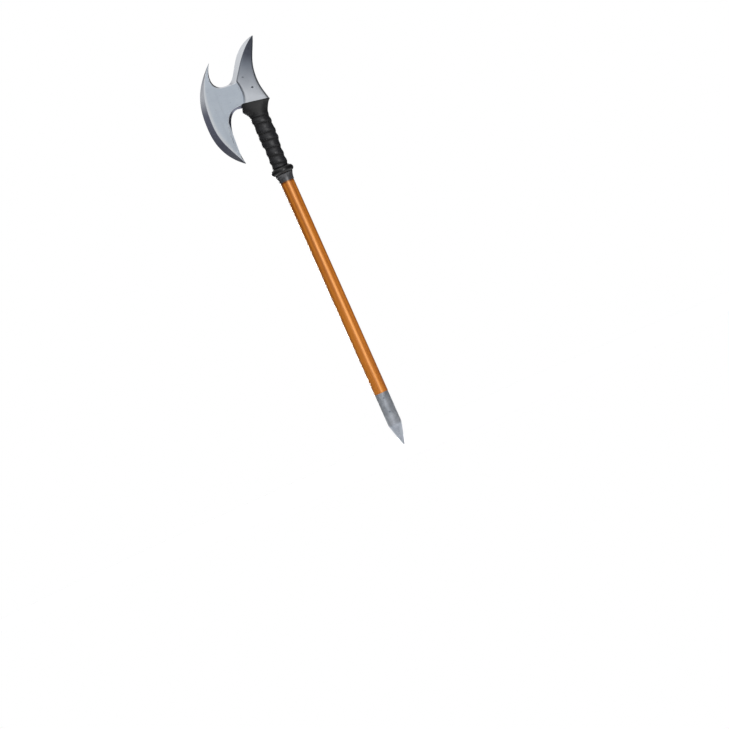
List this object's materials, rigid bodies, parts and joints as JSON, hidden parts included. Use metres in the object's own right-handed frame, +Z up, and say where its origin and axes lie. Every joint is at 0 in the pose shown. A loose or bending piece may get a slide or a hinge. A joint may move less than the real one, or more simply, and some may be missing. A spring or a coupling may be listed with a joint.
{
  "type": "ice axe",
  "caption": "Ice axe with a crescent blade and upswept spike, a black hood and wrapped grip, a beaded collar, a turned wooden shaft and a spiked steel foot.",
  "frame": {"origin": "the point of the foot spike, on the shaft's axis", "axes": "+Z up the shaft to the head, -X towards the crescent's cutting edge, Y across the blade's thickness"},
  "size_m": [0.1539, 0.046, 0.8492],
  "materials": {
    "forged_steel": "forged and satin ground, darker towards the point",
    "blade_steel": "satin ground plate with bright ground edges",
    "rivet_steel": "dull, filed flush",
    "shaft_wood": "oiled and varnished, orange brown, fine straight grain",
    "wedge_wood": "raw hardwood",
    "langet_steel": "dull mill finish",
    "hood_rubber": "matte moulded black",
    "underlay_rubber": "matte black",
    "wrap_tape": "matte black, spiral wound with overlapping edges",
    "tack_steel": "blackened",
    "collar_metal": "satin black-grey",
    "screw_steel": "blackened",
    "ferrule_steel": "drawn tube, satin",
    "foot_steel": "turned and ground"
  },
  "bodies": {
    "root": {"head_forging": "forged_steel", "crescent_blade": "blade_steel", "blade_rivets": "rivet_steel", "tenon_pin": "rivet_steel", "shaft": "shaft_wood", "tenon_wedge": "wedge_wood", "langet_left": "langet_steel", "langet_right": "langet_steel", "langet_rivets": "rivet_steel", "hood": "hood_rubber", "grip_underlay": "underlay_rubber", "grip_wrap": "wrap_tape", "wrap_tacks": "tack_steel", "collar_skirt": "collar_metal", "collar_bead": "collar_metal", "collar_screw": "screw_steel", "ferrule": "ferrule_steel", "foot_spike": "foot_steel", "spike_pin": "rivet_steel", "ferrule_rivet": "rivet_steel"}
  },
  "joints": []
}
